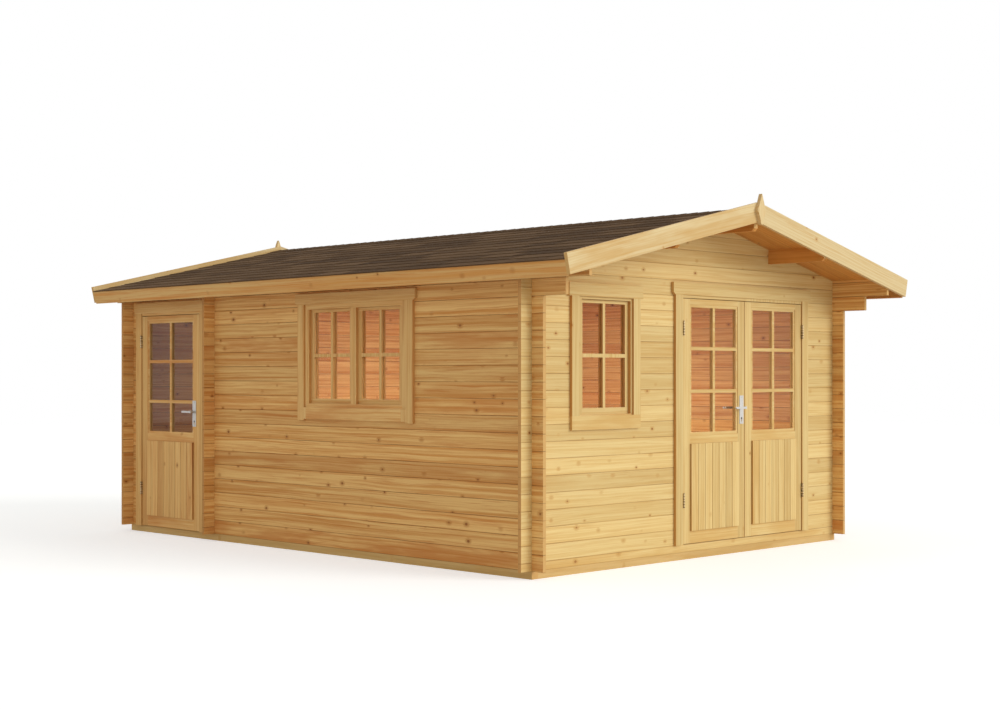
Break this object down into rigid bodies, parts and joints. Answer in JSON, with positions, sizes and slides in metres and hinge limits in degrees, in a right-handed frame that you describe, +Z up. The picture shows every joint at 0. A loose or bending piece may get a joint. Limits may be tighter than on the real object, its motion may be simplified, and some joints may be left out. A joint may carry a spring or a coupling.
{
  "type": "garden house",
  "caption": "Log garden house with a low gable roof, a wide glazed double door, small-paned windows and a separate store room with its own side door.",
  "frame": {"origin": "middle of the overall footprint, on the ground under the bearers", "axes": "-Y out of the front gable with the double door, +X to the right as seen from the front, +Z up; the ridge runs along Y"},
  "size_m": [4.097, 5.682, 2.6553],
  "materials": {
    "logs": "planed spruce, clear stain",
    "trim": "planed spruce, clear stain",
    "boards": "planed tongued boards",
    "base": "sawn, pressure treated",
    "joinery": "planed laminated spruce, clear stain",
    "shingle": "mineral-surfaced bitumen",
    "glass": "clear float glass",
    "steel": "zinc plated"
  },
  "bodies": {
    "house": {"base_frame": "base", "floor_boards": "boards", "front_sill": "logs", "front_wall_left": "logs", "front_wall_right": "logs", "front_gable": "logs", "left_wall": "logs", "left_wall_rear": "logs", "left_wall_top": "logs", "right_wall": "logs", "rear_wall": "logs", "partition_wall": "logs", "ridge_purlin": "logs", "side_purlins": "logs", "left_roof_boards": "boards", "right_roof_boards": "boards", "left_shingles": "shingle", "right_shingles": "shingle", "ridge_cap": "shingle", "fascia_boards": "trim", "front_barge_left": "trim", "front_barge_right": "trim", "rear_barge_left": "trim", "rear_barge_right": "trim", "finials": "trim", "front_window_frame": "trim", "front_window_sash": "joinery", "side_window_frame": "trim", "side_window_sashes": "joinery", "window_glass": "glass", "door_frame": "trim", "store_frame": "trim", "frame_hinges": "steel"},
    "left_leaf": {"left_leaf": "joinery", "left_panel": "joinery", "left_glass": "glass", "left_plates": "steel", "left_leaf_hinges": "steel"},
    "left_lever": {"left_lever": "steel"},
    "right_leaf": {"right_leaf": "joinery", "right_panel": "joinery", "right_glass": "glass", "right_leaf_hinges": "steel"},
    "store_leaf": {"store_leaf": "joinery", "store_panel": "joinery", "store_glass": "glass", "store_plates": "steel", "store_leaf_hinges": "steel"},
    "store_lever": {"store_lever": "steel"}
  },
  "joints": [
    {"name": "left_leaf_hinge", "type": "hinge", "parent": "house", "child": "left_leaf", "pos_m": [-0.2175, -2.3055, 0.116], "axis": [0, 0, -1], "range_deg": [0, 105]},
    {"name": "right_leaf_hinge", "type": "hinge", "parent": "house", "child": "right_leaf", "pos_m": [1.3075, -2.3055, 0.116], "axis": [0, 0, 1], "range_deg": [0, 105]},
    {"name": "store_leaf_hinge", "type": "hinge", "parent": "house", "child": "store_leaf", "pos_m": [-1.8335, 2.3635, 0.059], "axis": [0, 0, -1], "range_deg": [0, 105]},
    {"name": "left_lever_turn", "type": "hinge", "parent": "left_leaf", "child": "left_lever", "pos_m": [0.502, -2.291, 1.106], "axis": [0, -1, 0], "range_deg": [0, 40], "stiffness_Nm_per_rad": 1.2, "springref_deg": -34.38},
    {"name": "store_lever_turn", "type": "hinge", "parent": "store_leaf", "child": "store_lever", "pos_m": [-1.819, 1.578, 1.049], "axis": [-1, 0, 0], "range_deg": [0, 40], "stiffness_Nm_per_rad": 1.2, "springref_deg": -34.38}
  ]
}
